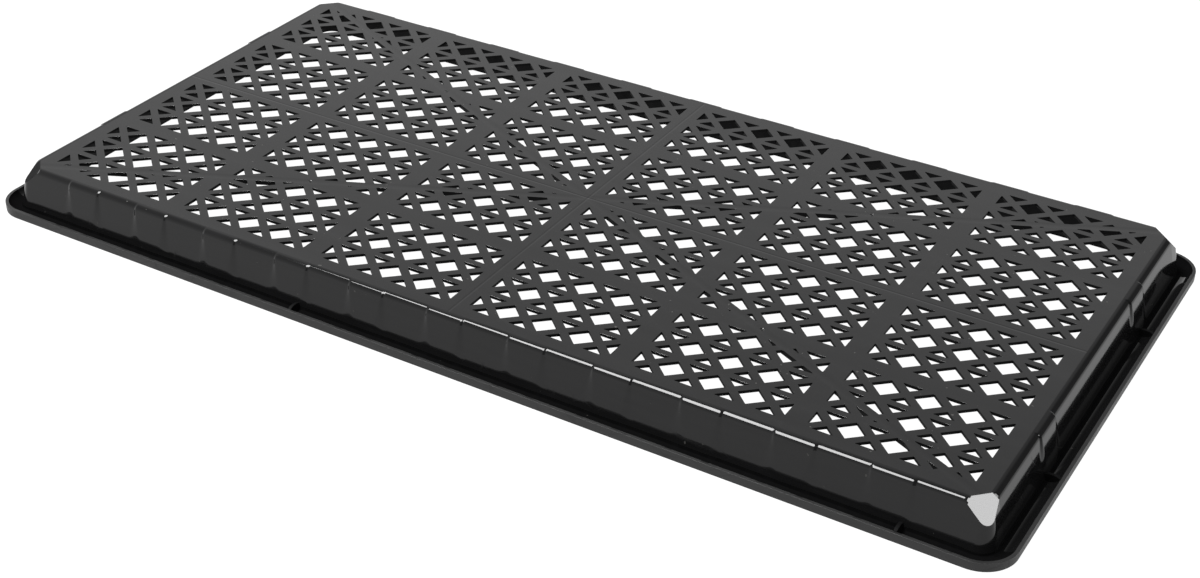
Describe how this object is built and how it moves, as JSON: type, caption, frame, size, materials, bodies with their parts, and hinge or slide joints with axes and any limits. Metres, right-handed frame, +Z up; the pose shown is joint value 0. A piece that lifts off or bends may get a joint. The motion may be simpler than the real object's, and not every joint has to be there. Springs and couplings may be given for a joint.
{
  "type": "mesh-bottom seedling tray",
  "caption": "Shallow rectangular seedling tray stored mesh floor uppermost: latticed floor, leaning padded walls, faceted corners and a lipped rim to stand on.",
  "frame": {"origin": "middle of the rim's underside, on the surface the tray stands on", "axes": "+X along the tray's length, +Y across its width, +Z up through the mesh floor"},
  "size_m": [0.54, 0.273, 0.023],
  "materials": {
    "tray_plastic": "moulded black polypropylene, glossy, with faint flow marks"
  },
  "bodies": {
    "root": {"mesh_floor": "tray_plastic", "front_wall": "tray_plastic", "back_wall": "tray_plastic", "left_wall": "tray_plastic", "right_wall": "tray_plastic", "front_left_corner": "tray_plastic", "front_right_corner": "tray_plastic", "back_left_corner": "tray_plastic", "back_right_corner": "tray_plastic", "front_rim": "tray_plastic", "back_rim": "tray_plastic", "left_rim": "tray_plastic", "right_rim": "tray_plastic", "front_left_rim_corner": "tray_plastic", "front_right_rim_corner": "tray_plastic", "back_left_rim_corner": "tray_plastic", "back_right_rim_corner": "tray_plastic", "rim_gussets": "tray_plastic", "flow_leaders": "tray_plastic"}
  },
  "joints": []
}
